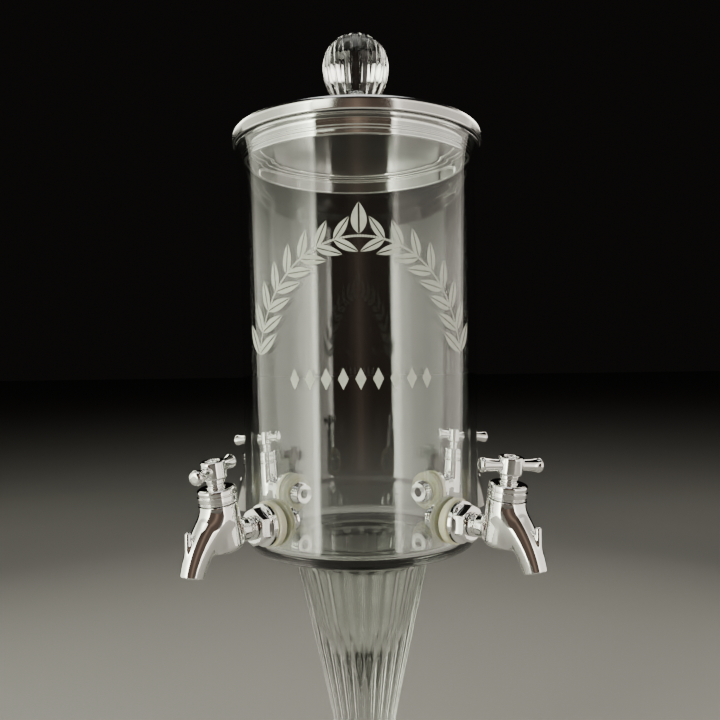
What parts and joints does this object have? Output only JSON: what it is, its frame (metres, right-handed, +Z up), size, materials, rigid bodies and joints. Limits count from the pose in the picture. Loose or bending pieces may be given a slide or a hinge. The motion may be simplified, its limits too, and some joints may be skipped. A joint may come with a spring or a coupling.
{
  "type": "absinthe fountain",
  "caption": "Glass drinks fountain: a clear cylindrical reservoir with quarter-turn drip taps round its base and a lift-off chrome lid, on a fluted glass stem and foot.",
  "frame": {"origin": "on the fountain's vertical axis, on the surface that the foot stands on", "axes": "+Z up; -Y is the front, with one tap to the left and one to the right of it; +X is the viewer's right"},
  "size_m": [0.171, 0.1703, 0.4881],
  "materials": {
    "clear_glass": "clear polished",
    "knob_glass": "clear pressed, ribbed",
    "polished_chrome": "mirror polished",
    "natural_nylon": "satin, slightly translucent",
    "black_rubber": "matt",
    "zinc_steel": "zinc plated"
  },
  "bodies": {
    "fountain": {"pedestal": "clear_glass", "reservoir": "clear_glass", "tap_1_body": "polished_chrome", "tap_1_shank": "polished_chrome", "tap_1_outer_washer": "natural_nylon", "tap_1_inner_washer": "natural_nylon", "tap_1_lock_nut": "natural_nylon", "tap_1_bonnet": "polished_chrome", "tap_1_seal": "black_rubber", "tap_2_body": "polished_chrome", "tap_2_shank": "polished_chrome", "tap_2_outer_washer": "natural_nylon", "tap_2_inner_washer": "natural_nylon", "tap_2_lock_nut": "natural_nylon", "tap_2_bonnet": "polished_chrome", "tap_2_seal": "black_rubber", "tap_3_body": "polished_chrome", "tap_3_shank": "polished_chrome", "tap_3_outer_washer": "natural_nylon", "tap_3_inner_washer": "natural_nylon", "tap_3_lock_nut": "natural_nylon", "tap_3_bonnet": "polished_chrome", "tap_3_seal": "black_rubber", "tap_4_body": "polished_chrome", "tap_4_shank": "polished_chrome", "tap_4_outer_washer": "natural_nylon", "tap_4_inner_washer": "natural_nylon", "tap_4_lock_nut": "natural_nylon", "tap_4_bonnet": "polished_chrome", "tap_4_seal": "black_rubber"},
    "lid": {"lid_cap": "polished_chrome", "lid_liner": "polished_chrome", "knob": "knob_glass", "knob_ferrule": "polished_chrome", "knob_washer": "zinc_steel", "knob_nut": "zinc_steel", "knob_stud": "zinc_steel"},
    "tap_1_handle_set": {"tap_1_spindle": "polished_chrome", "tap_1_handle": "polished_chrome", "tap_1_handle_screw": "zinc_steel"},
    "tap_2_handle_set": {"tap_2_spindle": "polished_chrome", "tap_2_handle": "polished_chrome", "tap_2_handle_screw": "zinc_steel"},
    "tap_3_handle_set": {"tap_3_spindle": "polished_chrome", "tap_3_handle": "polished_chrome", "tap_3_handle_screw": "zinc_steel"},
    "tap_4_handle_set": {"tap_4_spindle": "polished_chrome", "tap_4_handle": "polished_chrome", "tap_4_handle_screw": "zinc_steel"}
  },
  "joints": [
    {"name": "lid_lift", "type": "slide", "parent": "fountain", "child": "lid", "axis": [0, 0, 1], "range_m": [0, 0.05]},
    {"name": "tap_1_turn", "type": "hinge", "parent": "fountain", "child": "tap_1_handle_set", "pos_m": [-0.06661, -0.06661, 0.226], "axis": [-0.0984, -0.0984, 0.9903], "range_deg": [0, 90]},
    {"name": "tap_2_turn", "type": "hinge", "parent": "fountain", "child": "tap_2_handle_set", "pos_m": [0.06661, -0.06661, 0.226], "axis": [0.0984, -0.0984, 0.9903], "range_deg": [0, 90]},
    {"name": "tap_3_turn", "type": "hinge", "parent": "fountain", "child": "tap_3_handle_set", "pos_m": [0.06661, 0.06661, 0.226], "axis": [0.0984, 0.0984, 0.9903], "range_deg": [0, 90]},
    {"name": "tap_4_turn", "type": "hinge", "parent": "fountain", "child": "tap_4_handle_set", "pos_m": [-0.06661, 0.06661, 0.226], "axis": [-0.0984, 0.0984, 0.9903], "range_deg": [0, 90]}
  ]
}
